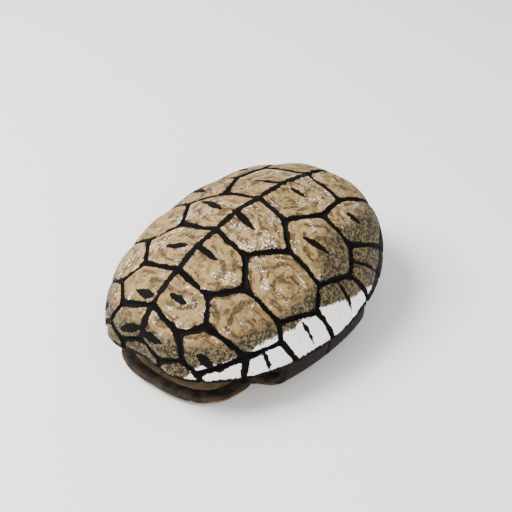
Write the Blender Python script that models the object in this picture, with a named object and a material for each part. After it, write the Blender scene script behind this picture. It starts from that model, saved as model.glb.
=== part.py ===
"""A turtle's empty shell: the domed carapace, and the plastron under it, which meet along the two bridges.

Sizes are in millimetres until a point is handed to Blender in metres. +Z is up, the head end faces -Y,
the turtle's left side is +X, and the plastron rests on Z = 0.
"""

import math

import bmesh
import bpy
from mathutils import Vector

METRES = 0.001

# The carapace's dome
HALF_LENGTH = 90.0
HALF_WIDTH = 65.0
DOME_HEIGHT = 54.0
RIM_HEIGHT = 20.0
OUTLINE_SQUARENESS = 2.2
REAR_WIDENING = 0.08
CROWN_FORWARD = 5.4
FRONT_RIM_LIFT = 7.0
REAR_RIM_LIFT = 17.0
NECK_NOTCH_DEPTH = 5.0
NECK_NOTCH_HALF_WIDTH = 17.0
NECK_NOTCH_RISE = 2.0
KEEL_HEIGHT = 1.6
KEEL_HALF_WIDTH = 4.5

# The walls, which are bone and horn grown together
DOME_WALL = 3.4
RIM_WALL = 6.0
BACKBONE_DEPTH = 3.0
BACKBONE_REACH = 0.8
RIM_BEAD_DROP = 0.9
PLASTRON_WALL = 4.2
EDGE_EASE = 0.9

# The horn plates and the seams between them
SEAM_HALF_WIDTH = 1.6
SEAM_DEPTH = 1.3
FAINT_SEAM_DEPTH = 0.5
RIM_EASE = 0.4
PLATE_CROWN = 1.3
FULL_CROWN_FROM = 14.0
CARAPACE_STEP = 5.6
PLASTRON_STEP = 8.0
CARAPACE_RINGS = (0.3, 0.62)
PLASTRON_RINGS = (0.3, 0.62)
INNER_RING = 0.5

# The plastron's flat middle, its lobes that turn up at the tips, and the wings that climb to the carapace
FLAT_HALF_WIDTH = 38.0
WING_GIRTH = 30.0
WING_FULLNESS = 0.45
LOBE_HALF_WIDTH = 38.5
FRONT_LOBE_ROOT = -44.0
FRONT_LOBE_LENGTH = 35.0
FRONT_LOBE_UPTURN = 3.5
REAR_LOBE_ROOT = 36.0
REAR_LOBE_LENGTH = 45.0
REAR_LOBE_UPTURN = 2.0
LEG_NOTCH_CURVE = 8.0
ANAL_NOTCH_DEPTH = 5.0
WING_TOP = FLAT_HALF_WIDTH + WING_GIRTH
BRIDGE_RECESS = 1.0
BRIDGE_GAP = 0.4

CHART_STEP = 1e-3
SAME_SPOT = 5
SHARP_EDGE = math.radians(35)

# Seam junctions of the carapace's left half, in percent of a round chart of the dome: across, along.
# The crown is the chart's centre and the rim is its edge, with the head end at -100 along.
CARAPACE_JUNCTIONS = {
    "keel_front": (0, -86), "keel_1": (0, -60), "keel_2": (0, -38),
    "keel_3": (0, -13), "keel_4": (0, 13), "keel_rear": (0, 48),
    "corner_1": (24.5, -65), "corner_2": (23.5, -40), "corner_3": (21.5, -15.5), "corner_4": (19.5, 9.5),
    "side_1": (35, -78), "side_2": (34.5, -53), "side_3": (35, -28), "side_4": (36, -1.5),
    "side_5": (29, 25), "side_rear": (27, 42),
    "front": (20, -90), "low_1": (47.5, -80), "low_1_mid": (57, -68), "low_2": (64, -54),
    "low_2_mid": (69, -45.5), "low_3": (72.5, -36), "step_3": (62, -30),
    "low_3_mid": (68, -20.5), "low_4": (73.5, -11), "step_4": (61, -2),
    "low_4_mid": (65, 8), "low_5": (68, 17), "low_5_mid": (61.5, 22), "low_6": (53, 26),
}

# Where the seams between the marginal plates reach the rim: degrees from straight left, tail end positive
RIM_ANGLES = (-79, -57, -41, -31, -20.5, -12, -3.5, 8, 19, 31, 43, 65, 90)

# Plates across the midline are given by their left half's outline; the other lists are whole plates
NUCHAL_HALF = ("rim_nose", "rim_0", "front", "keel_front")
VERTEBRAL_HALVES = (
    ("keel_front", "front", "side_1", "corner_1", "keel_1"),
    ("keel_1", "corner_1", "side_2", "corner_2", "keel_2"),
    ("keel_2", "corner_2", "side_3", "corner_3", "keel_3"),
    ("keel_3", "corner_3", "side_4", "corner_4", "keel_4"),
    ("keel_4", "corner_4", "side_5", "side_rear", "keel_rear"),
)
PLEURALS = (
    ("side_1", "low_1", "low_1_mid", "low_2", "side_2", "corner_1"),
    ("side_2", "low_2", "low_2_mid", "low_3", "step_3", "side_3", "corner_2"),
    ("side_3", "step_3", "low_3_mid", "low_4", "step_4", "side_4", "corner_3"),
    ("side_4", "step_4", "low_4_mid", "low_5", "low_5_mid", "low_6", "side_5", "corner_4"),
)
MARGINAL_TOPS = (
    ("low_1", "side_1", "front"), ("low_2", "low_1_mid", "low_1"), ("low_2_mid", "low_2"),
    ("low_3", "low_2_mid"), ("low_3_mid", "step_3", "low_3"), ("low_4", "low_3_mid"),
    ("low_4_mid", "step_4", "low_4"), ("low_5", "low_4_mid"), ("low_5_mid", "low_5"),
    ("low_6", "low_5_mid"), ("side_rear", "side_5", "low_6"), ("keel_rear", "side_rear"),
)
FAINT_SEAMS = (
    {"rim_3", "low_2_mid"}, {"rim_5", "low_3_mid"}, {"rim_7", "low_4_mid"}, {"rim_9", "low_5_mid"},
)

# Seam junctions of the plastron's left half, in millimetres: girth from the midline, along
PLASTRON_JUNCTIONS = {
    "mid_1": (0, -61), "mid_2": (0, -40), "mid_3": (0, -9), "mid_4": (0, 25), "mid_5": (0, 50),
    "fold_seam": (40, -11), "wing_seam": (68, -6),
}

# Junctions on the plastron's free edge: the arcs that they lie on, and the turn along each, in degrees
PLASTRON_EDGE_JUNCTIONS = {
    "front_tip": {"front lobe": 90}, "gular_side": {"front lobe": 58},
    "armpit": {"front lobe": 0, "front notch": 0}, "wing_front": {"front notch": 90},
    "wing_rear": {"rear notch": 90}, "groin": {"rear notch": 0, "rear lobe": 0},
    "femoral_rear": {"rear lobe": 38}, "anal_tip": {"rear lobe": 73, "anal notch": 0},
    "anal_middle": {"anal notch": 90},
}
PLASTRON_PLATES = (
    ("front_tip", "gular_side", "mid_1"),
    ("mid_1", "gular_side", "armpit", "mid_2"),
    ("mid_2", "armpit", "wing_front", "wing_seam", "fold_seam", "mid_3"),
    ("mid_3", "fold_seam", "wing_seam", "wing_rear", "groin", "mid_4"),
    ("mid_4", "groin", "femoral_rear", "mid_5"),
    ("mid_5", "femoral_rear", "anal_tip", "anal_middle"),
)

HORN_TAN = (0.46, 0.31, 0.16, 1.0)
PLASTRON_BROWN = (0.10, 0.065, 0.04, 1.0)
HORN_ROUGHNESS = 0.55


def clear_scene():
    for thing in list(bpy.data.objects):
        bpy.data.objects.remove(thing)


def horn(name, colour):
    material = bpy.data.materials.new(name)
    material.use_nodes = True
    shader = material.node_tree.nodes["Principled BSDF"]
    shader.inputs["Base Color"].default_value = colour
    shader.inputs["Roughness"].default_value = HORN_ROUGHNESS
    shader.inputs["Metallic"].default_value = 0.0
    return material


class Arc:
    """A superellipse on a chart, which a free edge follows. A negative reach turns it the other way."""

    def __init__(self, centre, reach, power=2.0):
        self.centre = centre
        self.reach = reach
        self.power = power

    def spot(self, turn):
        waves = (math.cos(turn), math.sin(turn))
        return tuple(
            middle + reach * math.copysign(abs(wave) ** (2 / self.power), wave)
            for middle, reach, wave in zip(self.centre, self.reach, waves)
        )


def dome_point(across, along):
    """The carapace's smooth outer surface: a superellipse outline under an elliptical dome, with a low keel."""
    turn = math.atan2(along, across)
    ahead, aside = math.sin(turn), math.cos(turn)
    fall = math.hypot(across, along) * math.pi / 2
    reach = math.sin(fall)
    power = OUTLINE_SQUARENESS
    outline = (abs(aside) ** power + abs(ahead) ** power) ** (-1 / power)
    x = HALF_WIDTH * reach * outline * aside * (1 + REAR_WIDENING * reach * outline * ahead)
    y = HALF_LENGTH * reach * outline * ahead - CROWN_FORWARD * math.cos(fall) ** 2
    lift = FRONT_RIM_LIFT * max(0.0, -ahead) ** 2 + REAR_RIM_LIFT * max(0.0, ahead) ** 2
    z = RIM_HEIGHT + DOME_HEIGHT * math.cos(fall) + lift * reach**3
    z += KEEL_HEIGHT * math.exp(-((x / KEEL_HALF_WIDTH) ** 2)) * max(0.0, math.cos(fall)) ** 0.5
    if along < 0:
        notch = math.exp(-((x / NECK_NOTCH_HALF_WIDTH) ** 2)) * reach**12
        y += NECK_NOTCH_DEPTH * notch
        z += NECK_NOTCH_RISE * notch
    return Vector((x, y, z))


def carapace_point(across, along, height):
    """A point `height` above the dome, or below it where height is negative."""
    de_across = dome_point(across + CHART_STEP, along) - dome_point(across - CHART_STEP, along)
    de_along = dome_point(across, along + CHART_STEP) - dome_point(across, along - CHART_STEP)
    return dome_point(across, along) + height * de_across.cross(de_along).normalized()


def carapace_wall(across, along):
    """Wall thickness: thin over the dome, thick at the rim, and deeper along the backbone on the midline."""
    radius = min(1.0, math.hypot(across, along))
    backbone = BACKBONE_DEPTH if abs(across) < CHART_STEP and radius < BACKBONE_REACH else 0.0
    return DOME_WALL + (RIM_WALL - DOME_WALL) * radius**6 + backbone


def rim_bead(turn):
    """The lowest line of the carapace's rim, midway through its wall."""
    return carapace_point(math.cos(turn), math.sin(turn), -RIM_WALL / 2) - Vector((0, 0, RIM_BEAD_DROP))


def bead_beside(along):
    """The rim's lowest point on the left side at this distance along the shell."""
    low, high = -math.pi / 2, math.pi / 2
    for _ in range(30):
        middle = (low + high) / 2
        if rim_bead(middle).y < along:
            low = middle
        else:
            high = middle
    return rim_bead(low)


def belly_point(girth, along):
    """The plastron's underside: flat in the middle, then a full curve that climbs to the carapace's rim."""
    upturn = FRONT_LOBE_UPTURN * (max(0.0, FRONT_LOBE_ROOT - along) / FRONT_LOBE_LENGTH) ** 2
    upturn += REAR_LOBE_UPTURN * (max(0.0, along - REAR_LOBE_ROOT) / REAR_LOBE_LENGTH) ** 2
    if abs(girth) <= FLAT_HALF_WIDTH:
        return Vector((girth, along, upturn))
    bead = bead_beside(along)
    end_x = bead.x + RIM_WALL / 2 - BRIDGE_RECESS
    end_z = bead.z - BRIDGE_GAP
    climb = (abs(girth) - FLAT_HALF_WIDTH) / WING_GIRTH * math.pi / 2
    spread = math.sin(climb) * (1 + WING_FULLNESS * math.cos(climb) ** 2)
    x = FLAT_HALF_WIDTH + (end_x - FLAT_HALF_WIDTH) * spread
    return Vector((math.copysign(x, girth), along, upturn + end_z * (1 - math.cos(climb))))


def plastron_point(girth, along, height):
    """A point `height` outside the belly, square to the midline, so that the free edges stay upright."""
    rise = belly_point(girth + CHART_STEP, along) - belly_point(girth - CHART_STEP, along)
    outward = Vector((rise.z, 0.0, -rise.x)).normalized()
    return belly_point(girth, along) + height * outward


def plastron_wall(_girth, _along):
    return PLASTRON_WALL


def carapace_junctions():
    """Each junction's spot on the chart, and the arcs of the free edge that it lies on."""
    rim = Arc((0.0, 0.0), (1.0, 1.0))
    junctions = {name: ((x / 100, y / 100), {}) for name, (x, y) in CARAPACE_JUNCTIONS.items()}
    turns = {f"rim_{index}": math.radians(angle) for index, angle in enumerate(RIM_ANGLES)}
    turns["rim_nose"] = -math.pi / 2
    for name, turn in turns.items():
        junctions[name] = (rim.spot(turn), {"rim": turn})
    return junctions, {"rim": rim}


def plastron_junctions():
    arcs = {
        "front lobe": Arc((0.0, FRONT_LOBE_ROOT), (LOBE_HALF_WIDTH, -FRONT_LOBE_LENGTH), 2.6),
        "front notch": Arc((WING_TOP, FRONT_LOBE_ROOT), (LOBE_HALF_WIDTH - WING_TOP, LEG_NOTCH_CURVE)),
        "rear notch": Arc((WING_TOP, REAR_LOBE_ROOT), (LOBE_HALF_WIDTH - WING_TOP, -LEG_NOTCH_CURVE)),
        "rear lobe": Arc((0.0, REAR_LOBE_ROOT), (LOBE_HALF_WIDTH, REAR_LOBE_LENGTH), 2.3),
    }
    tip_x, tip_y = arcs["rear lobe"].spot(math.radians(PLASTRON_EDGE_JUNCTIONS["anal_tip"]["rear lobe"]))
    arcs["anal notch"] = Arc((0.0, tip_y), (tip_x, -ANAL_NOTCH_DEPTH))
    junctions = {name: ((float(x), float(y)), {}) for name, (x, y) in PLASTRON_JUNCTIONS.items()}
    for name, degrees in PLASTRON_EDGE_JUNCTIONS.items():
        turns = {arc: math.radians(turn) for arc, turn in degrees.items()}
        arc, turn = next(iter(turns.items()))
        junctions[name] = (arcs[arc].spot(turn), turns)
    return junctions, arcs


class Side:
    """One side of a plate: chart points from corner to corner, whether it is free, and how deep its seam is."""

    def __init__(self, spots, free, depth):
        self.spots = spots
        self.free = free
        self.depth = depth

    def mirrored(self):
        return Side([(-x if x else 0.0, y) for x, y in reversed(self.spots)], self.free, self.depth)


class PlatedSolid:
    """One closed body: horn plates with seams on its outside, a smooth inside, and an edge that joins them."""

    def __init__(self, junctions, arcs, place, wall, step, rings, crown, free_ease):
        self.junctions = junctions
        self.arcs = arcs
        self.place = place
        self.wall = wall
        self.step = step
        self.rings = rings
        self.crown = crown
        self.free_ease = free_ease
        self.mesh = bmesh.new()
        self.outer = {}
        self.inner = {}
        self.plates = []

    def side(self, start, end):
        """The side from one junction to the next: along the arc that both lie on, or else straight."""
        first, last = sorted((start, end))
        (spot_a, turns_a), (spot_b, turns_b) = self.junctions[first], self.junctions[last]
        span = (self.place(*spot_b, 0.0) - self.place(*spot_a, 0.0)).length
        count = max(1, round(span / self.step))
        shares = [index / count for index in range(count + 1)]
        common = [name for name in turns_a if name in turns_b]
        if common:
            arc, turn_a, turn_b = self.arcs[common[0]], turns_a[common[0]], turns_b[common[0]]
            spots = [arc.spot(turn_a + (turn_b - turn_a) * share) for share in shares]
        else:
            spots = [tuple(a + (b - a) * share for a, b in zip(spot_a, spot_b)) for share in shares]
        wing_top = start.startswith("wing") and end.startswith("wing")
        depth = FAINT_SEAM_DEPTH if {start, end} in FAINT_SEAMS else SEAM_DEPTH
        return Side(spots if first == start else spots[::-1], bool(common) or wing_top, depth)

    def add_half_and_mirror(self, names):
        """A plate across the midline, from the outline of its left half, which starts and ends on the midline."""
        left = [self.side(*pair) for pair in zip(names, names[1:])]
        self.add_plate(left + [side.mirrored() for side in reversed(left)])

    def add_pair(self, names):
        """A plate on the left side and its mirror image on the right."""
        left = [self.side(*pair) for pair in zip(names, names[1:] + names[:1])]
        self.add_plate(left)
        self.add_plate([side.mirrored() for side in reversed(left)])

    def shared(self, store, spot, height):
        """The one vertex at this spot of the network, which neighbouring plates share."""
        key = (round(spot[0], SAME_SPOT), round(spot[1], SAME_SPOT))
        if key not in store:
            store[key] = self.vertex(spot, height)
        return store[key]

    def vertex(self, spot, height):
        return self.mesh.verts.new(self.place(*spot, height) * METRES)

    def band(self, low, high):
        for index, corner in enumerate(low):
            following = (index + 1) % len(low)
            self.mesh.faces.new((corner, low[following], high[following], high[index]))

    def fan(self, ring, tip):
        for index, corner in enumerate(ring):
            self.mesh.faces.new((corner, ring[(index + 1) % len(ring)], tip))

    def distances(self, sides, centre):
        """How far each side lies from the plate's centre."""
        middle = self.place(*centre, 0.0)
        ends = [(self.place(*side.spots[0], 0.0), self.place(*side.spots[-1], 0.0)) for side in sides]
        return [(middle - start).cross((end - start).normalized()).length for start, end in ends]

    def seam_shares(self, sides, distances):
        """How far towards the centre the seam's edge lies at each outline point, as a share of the way."""
        by_side = [SEAM_HALF_WIDTH / distance for distance in distances]
        shares = []
        for index, side in enumerate(sides):
            shares.append((by_side[index - 1] + by_side[index]) / 2)
            shares += [by_side[index]] * (len(side.spots) - 2)
        return shares

    def add_plate(self, sides):
        centre = tuple(sum(side.spots[0][axis] for side in sides) / len(sides) for axis in (0, 1))
        ring = []
        outline = []
        for side in sides:
            ring.append(self.shared(self.outer, side.spots[0], -SEAM_DEPTH))
            between = -self.free_ease if side.free else -side.depth
            ring += [self.shared(self.outer, spot, between) for spot in side.spots[1:-1]]
            outline += side.spots[:-1]
        distances = self.distances(sides, centre)
        shares = self.seam_shares(sides, distances)
        crown = self.crown * min(1.0, min(distances) / FULL_CROWN_FROM)
        for level in (0.0, *self.rings):
            height = crown * (1 - (1 - level) ** 2)
            inner_ring = []
            for spot, share in zip(outline, shares):
                way = share + (1 - share) * level
                towards = tuple(own + (middle - own) * way for own, middle in zip(spot, centre))
                inner_ring.append(self.vertex(towards, height))
            self.band(ring, inner_ring)
            ring = inner_ring
        self.fan(ring, self.vertex(centre, crown))
        self.plates.append((outline, centre))

    def add_inside(self):
        """The inner wall, laid out like the plates, so that each free edge outside has its partner inside."""
        for outline, centre in self.plates:
            low = [self.shared(self.inner, spot, -self.wall(*spot)) for spot in outline]
            halfway = [tuple(a + (b - a) * INNER_RING for a, b in zip(spot, centre)) for spot in outline]
            high = [self.vertex(spot, -self.wall(*spot)) for spot in halfway]
            self.band(low, high)
            self.fan(high, self.vertex(centre, -self.wall(*centre)))

    def close_edge(self, bead_drop):
        """Joins the free edges outside and inside by a strip, with a low bead along its middle."""
        partner = {self.outer[key]: self.inner[key] for key in self.outer}
        free = [edge for edge in self.mesh.edges if edge.is_boundary and edge.verts[0] in partner]
        beads = {}
        for vertex in {end for edge in free for end in edge.verts}:
            beads[vertex] = self.mesh.verts.new((vertex.co + partner[vertex].co) / 2)
            beads[vertex].co.z -= bead_drop * METRES
        for edge in free:
            start, end = edge.verts
            self.mesh.faces.new((start, end, beads[end], beads[start]))
            self.mesh.faces.new((beads[start], beads[end], partner[end], partner[start]))

    def finish(self, name, material):
        bmesh.ops.recalc_face_normals(self.mesh, faces=self.mesh.faces)
        bmesh.ops.triangulate(self.mesh, faces=self.mesh.faces)
        data = bpy.data.meshes.new(name)
        self.mesh.to_mesh(data)
        self.mesh.free()
        data.shade_smooth()
        data.set_sharp_from_angle(angle=SHARP_EDGE)
        data.materials.append(material)
        thing = bpy.data.objects.new(name, data)
        bpy.context.scene.collection.objects.link(thing)
        return thing


def build_carapace():
    solid = PlatedSolid(
        *carapace_junctions(), carapace_point, carapace_wall,
        step=CARAPACE_STEP, rings=CARAPACE_RINGS, crown=PLATE_CROWN, free_ease=RIM_EASE,
    )
    for names in (NUCHAL_HALF, *VERTEBRAL_HALVES):
        solid.add_half_and_mirror(names)
    for names in PLEURALS:
        solid.add_pair(names)
    for index, tops in enumerate(MARGINAL_TOPS):
        solid.add_pair((f"rim_{index}", f"rim_{index + 1}", *tops))
    solid.add_inside()
    solid.close_edge(RIM_BEAD_DROP)
    return solid.finish("carapace", horn("carapace_horn", HORN_TAN))


def build_plastron():
    solid = PlatedSolid(
        *plastron_junctions(), plastron_point, plastron_wall,
        step=PLASTRON_STEP, rings=PLASTRON_RINGS, crown=0.0, free_ease=EDGE_EASE,
    )
    for names in PLASTRON_PLATES:
        solid.add_pair(names)
    solid.add_inside()
    solid.close_edge(0.0)
    return solid.finish("plastron", horn("plastron_horn", PLASTRON_BROWN))


def centre_lengthwise(things):
    """Slides the shell along Y until its box is centred, because the neck notch shortens the front."""
    reach = [vertex.co.y for thing in things for vertex in thing.data.vertices]
    slide = -(min(reach) + max(reach)) / 2
    for thing in things:
        for vertex in thing.data.vertices:
            vertex.co.y += slide
    return slide


def main():
    clear_scene()
    shell = [build_carapace(), build_plastron()]
    slide = centre_lengthwise(shell)
    print(f"slid {slide / METRES:.2f} mm along Y")
    for thing in shell:
        print(thing.name, len(thing.data.polygons), "triangles")


main()
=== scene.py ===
# %% [markdown]
# # An empty turtle shell
#
# This script dresses the two packed halves of a turtle's shell: the domed carapace and the flat plastron.
# A real shell is bone with thin plates of horn grown onto it. The plates meet at dark seams and carry
# growth rings, because each plate adds a rim of new horn every season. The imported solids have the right
# shape but are too coarse for the rings, so each half is rebuilt here as one dense mesh on the same surface.

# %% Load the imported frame
import math

import bmesh
import bpy
import numpy as np
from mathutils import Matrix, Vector


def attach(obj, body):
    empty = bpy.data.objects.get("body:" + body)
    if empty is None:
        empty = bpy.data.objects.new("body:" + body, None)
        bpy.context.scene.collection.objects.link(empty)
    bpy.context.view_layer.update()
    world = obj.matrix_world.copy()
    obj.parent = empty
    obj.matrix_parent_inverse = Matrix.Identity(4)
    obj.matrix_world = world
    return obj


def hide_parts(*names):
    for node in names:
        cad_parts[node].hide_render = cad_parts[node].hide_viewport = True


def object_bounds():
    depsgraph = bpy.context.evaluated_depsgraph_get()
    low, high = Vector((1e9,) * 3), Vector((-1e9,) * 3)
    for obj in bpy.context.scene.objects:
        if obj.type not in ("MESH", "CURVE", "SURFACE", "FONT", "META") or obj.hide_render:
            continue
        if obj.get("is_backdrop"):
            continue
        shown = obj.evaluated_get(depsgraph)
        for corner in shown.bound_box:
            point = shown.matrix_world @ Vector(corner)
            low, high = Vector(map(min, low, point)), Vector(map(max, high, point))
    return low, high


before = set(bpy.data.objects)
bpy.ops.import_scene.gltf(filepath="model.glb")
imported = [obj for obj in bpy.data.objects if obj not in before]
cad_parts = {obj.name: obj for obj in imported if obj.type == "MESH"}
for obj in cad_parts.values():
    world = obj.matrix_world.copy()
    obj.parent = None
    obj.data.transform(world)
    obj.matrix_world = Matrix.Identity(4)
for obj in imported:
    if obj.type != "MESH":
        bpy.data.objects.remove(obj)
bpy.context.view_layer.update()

MM = 0.001

# %% [markdown]
# ## The camera
#
# The viewing angle is the one that the drawn shell is seen from: from its front left, and well above.
# A camera is easiest to place from what it looks at. We start at a point on the midline at the height of
# the rim, back away from it along the line of sight, and then slide sideways and up, which frames the shell
# off centre without turning the view.

# %% Camera
VIEW_AZIMUTH = math.radians(38.0)
VIEW_ELEVATION = math.radians(38.2)
VIEW_DISTANCE = 0.585
SLIDE_RIGHT = 0.0063
SLIDE_UP = 0.0174
LENS = 72.0
SENSOR_WIDTH = 36.0
LENGTHWISE_SLIDE = -1.86 * MM
LOOK_AT = Vector((0.0, LENGTHWISE_SLIDE, 0.02))


def add_object(name, data):
    thing = bpy.data.objects.new(name, data)
    bpy.context.scene.collection.objects.link(thing)
    return thing


def face_away(thing, back):
    """Turns a camera or a lamp so that its back points this way."""
    thing.rotation_mode = "QUATERNION"
    thing.rotation_quaternion = back.to_track_quat("Z", "Y")


back = Vector((
    math.sin(VIEW_AZIMUTH) * math.cos(VIEW_ELEVATION),
    -math.cos(VIEW_AZIMUTH) * math.cos(VIEW_ELEVATION),
    math.sin(VIEW_ELEVATION),
))
camera = add_object("camera", bpy.data.cameras.new("camera"))
camera.data.lens = LENS
camera.data.sensor_width = SENSOR_WIDTH
face_away(camera, back)
right_of_view = camera.rotation_quaternion @ Vector((1, 0, 0))
up_of_view = camera.rotation_quaternion @ Vector((0, 1, 0))
camera.location = LOOK_AT + back * VIEW_DISTANCE + right_of_view * SLIDE_RIGHT + up_of_view * SLIDE_UP
bpy.context.scene.camera = camera
print("camera at", [round(value, 3) for value in camera.location])

# %% [markdown]
# ## The dome as a formula
#
# A shell could be sculpted, but this one follows a simple rule: seen from above it is a superellipse, and
# seen from the side an elliptical arch. We describe it with a round chart. A spot's distance from the
# chart's centre says how far down the dome it lies, and its direction says which way. Every plate, seam and
# ring is then drawn on the chart and lifted onto the dome by one function, which takes whole arrays.

# %% The carapace's outer surface
HALF_LENGTH = 90.0
HALF_WIDTH = 65.0
DOME_HEIGHT = 54.0
RIM_HEIGHT = 20.0
OUTLINE_SQUARENESS = 2.2
REAR_WIDENING = 0.08
CROWN_FORWARD = 5.4
FRONT_RIM_LIFT = 7.0
REAR_RIM_LIFT = 17.0
NECK_NOTCH_DEPTH = 5.0
NECK_NOTCH_HALF_WIDTH = 17.0
NECK_NOTCH_RISE = 2.0
KEEL_HEIGHT = 1.6
KEEL_HALF_WIDTH = 4.5


def dome(chart):
    """Points in millimetres on the carapace's smooth outside, for chart spots (across, along)."""
    across, along = chart[:, 0], chart[:, 1]
    turn = np.arctan2(along, across)
    ahead, aside = np.sin(turn), np.cos(turn)
    fall = np.hypot(across, along) * math.pi / 2
    reach = np.sin(fall)
    height = np.maximum(0.0, np.cos(fall))
    power = OUTLINE_SQUARENESS
    outline = (np.abs(aside) ** power + np.abs(ahead) ** power) ** (-1 / power)
    x = HALF_WIDTH * reach * outline * aside * (1 + REAR_WIDENING * reach * outline * ahead)
    y = HALF_LENGTH * reach * outline * ahead - CROWN_FORWARD * np.cos(fall) ** 2
    lift = FRONT_RIM_LIFT * np.maximum(0, -ahead) ** 2 + REAR_RIM_LIFT * np.maximum(0, ahead) ** 2
    z = RIM_HEIGHT + DOME_HEIGHT * np.cos(fall) + lift * reach**3
    z += KEEL_HEIGHT * np.exp(-((x / KEEL_HALF_WIDTH) ** 2)) * height**0.5
    notch = np.exp(-((x / NECK_NOTCH_HALF_WIDTH) ** 2)) * reach**12 * (along < 0)
    return np.column_stack((x, y + NECK_NOTCH_DEPTH * notch, z + NECK_NOTCH_RISE * notch))


crown_point = dome(np.array([[0.0, 0.0]]))[0]
print("the smooth dome peaks at", crown_point.round(1), "mm")

# %% [markdown]
# ## Offsetting a surface
#
# The inside of the shell runs a few millimetres under its outside. To find it we need the direction that
# stands square to the surface, the normal. We take two tiny steps on the chart, and the cross product of
# the two moves on the dome points straight out. The wall is thin over the dome and thick at the rim, and on
# the real bone a backbone runs along the midline inside, with a pair of low ribs at each bone plate.

# %% Normals and the wall
CHART_STEP = 1e-3
DOME_WALL = 3.4
RIM_WALL = 6.0
BACKBONE_DEPTH = 3.0
BACKBONE_HALF_WIDTH = 3.2
CROWN_STRETCH = 1.5
RIB_DEPTH = 0.9
RIB_PAIRS = 8
RIB_PITCH = 0.17
RIB_HALF_WIDTH = 0.028
RIB_BEND = 0.35
RIBS_END = 0.86
RIB_FADE = 0.12


def normals(surface, chart):
    """Unit vectors square to a surface at its chart spots."""
    step_across = np.array([[CHART_STEP, 0.0]])
    step_along = np.array([[0.0, CHART_STEP]])
    one = surface(chart + step_across) - surface(chart - step_across)
    other = surface(chart + step_along) - surface(chart - step_along)
    square = np.cross(one, other)
    return square / np.linalg.norm(square, axis=1, keepdims=True)


def carapace_wall(chart):
    """Wall thickness in millimetres, with the backbone and the ribs that stand out inside."""
    across, along = chart[:, 0], chart[:, 1]
    radius = np.minimum(1.0, np.hypot(across, along))
    fade = np.clip((RIBS_END - radius) / RIB_FADE, 0.0, 1.0)
    backbone = BACKBONE_DEPTH * np.exp(-((across * HALF_WIDTH * CROWN_STRETCH / BACKBONE_HALF_WIDTH) ** 2))
    ribs = np.zeros(len(chart))
    for pair in range(RIB_PAIRS):
        middle = (pair - (RIB_PAIRS - 1) / 2) * RIB_PITCH
        bend = middle * (1 + RIB_BEND * np.abs(across))
        ribs += np.exp(-(((along - bend) / RIB_HALF_WIDTH) ** 2))
    return DOME_WALL + (RIM_WALL - DOME_WALL) * radius**6 + (backbone + RIB_DEPTH * ribs) * fade


flank_and_rim = np.array([[0.3, 0.0], [1.0, 0.0]])
print("the wall is", carapace_wall(flank_and_rim).round(1), "mm on the flank and at the rim")

# %% [markdown]
# ## The plastron as a formula
#
# The plastron's chart is simpler: how far round from the midline, and how far along. Its middle is flat, as
# a turtle's belly is, and its two wings climb in a full curve to the underside of the carapace's rim.
# The wings must end where that rim is, so the formula looks the rim up.

# %% The plastron's underside
FLAT_HALF_WIDTH = 38.0
WING_GIRTH = 30.0
WING_FULLNESS = 0.45
WING_TOP = FLAT_HALF_WIDTH + WING_GIRTH
LOBE_HALF_WIDTH = 38.5
FRONT_LOBE_ROOT = -44.0
FRONT_LOBE_LENGTH = 35.0
FRONT_LOBE_UPTURN = 3.5
REAR_LOBE_ROOT = 36.0
REAR_LOBE_LENGTH = 45.0
REAR_LOBE_UPTURN = 2.0
LEG_NOTCH_CURVE = 8.0
ANAL_NOTCH_DEPTH = 5.0
PLASTRON_WALL = 4.2
RIM_BEAD_DROP = 0.9
BRIDGE_RECESS = 1.0
BRIDGE_GAP = 0.4

rim_turns = np.linspace(-math.pi / 2, math.pi / 2, 721)
rim_chart = np.column_stack((np.cos(rim_turns), np.sin(rim_turns)))
rim_middle = dome(rim_chart) - RIM_WALL / 2 * normals(dome, rim_chart)


def belly(chart):
    """Points in millimetres on the plastron's smooth underside, for chart spots (girth, along)."""
    girth, along = chart[:, 0], chart[:, 1]
    upturn = FRONT_LOBE_UPTURN * (np.maximum(0, FRONT_LOBE_ROOT - along) / FRONT_LOBE_LENGTH) ** 2
    upturn += REAR_LOBE_UPTURN * (np.maximum(0, along - REAR_LOBE_ROOT) / REAR_LOBE_LENGTH) ** 2
    bead_x = np.interp(along, rim_middle[:, 1], rim_middle[:, 0])
    bead_z = np.interp(along, rim_middle[:, 1], rim_middle[:, 2]) - RIM_BEAD_DROP
    end_x = bead_x + RIM_WALL / 2 - BRIDGE_RECESS
    end_z = bead_z - BRIDGE_GAP
    out = np.minimum(np.abs(girth), FLAT_HALF_WIDTH)
    climb = np.maximum(0.0, np.abs(girth) - FLAT_HALF_WIDTH) / WING_GIRTH * math.pi / 2
    spread = np.sin(climb) * (1 + WING_FULLNESS * np.cos(climb) ** 2)
    x = out + (end_x - FLAT_HALF_WIDTH) * spread
    return np.column_stack((np.copysign(x, girth), along, upturn + end_z * (1 - np.cos(climb))))


def belly_normals(chart):
    """Outward and square to the midline, so that the plastron's free edges stay upright."""
    step = np.array([[CHART_STEP, 0.0]])
    rise = belly(chart + step) - belly(chart - step)
    out = np.column_stack((rise[:, 2], np.zeros(len(rise)), -rise[:, 0]))
    return out / np.linalg.norm(out, axis=1, keepdims=True)


print("the wings end", belly(np.array([[WING_TOP, 0.0]]))[0].round(1), "mm out and up beside the middle")

# %% [markdown]
# ## The map of the plates
#
# The seams of a turtle's shell form a network: five plates along the back, four larger ones on each flank,
# and a belt of small ones round the rim, with one at the nape. We name the spots where seams meet, and each
# plate is then a list of names. Only the left half is written down, because the right half is its mirror
# image. Spots are in percent of the round chart, with the head end at -100.

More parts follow.
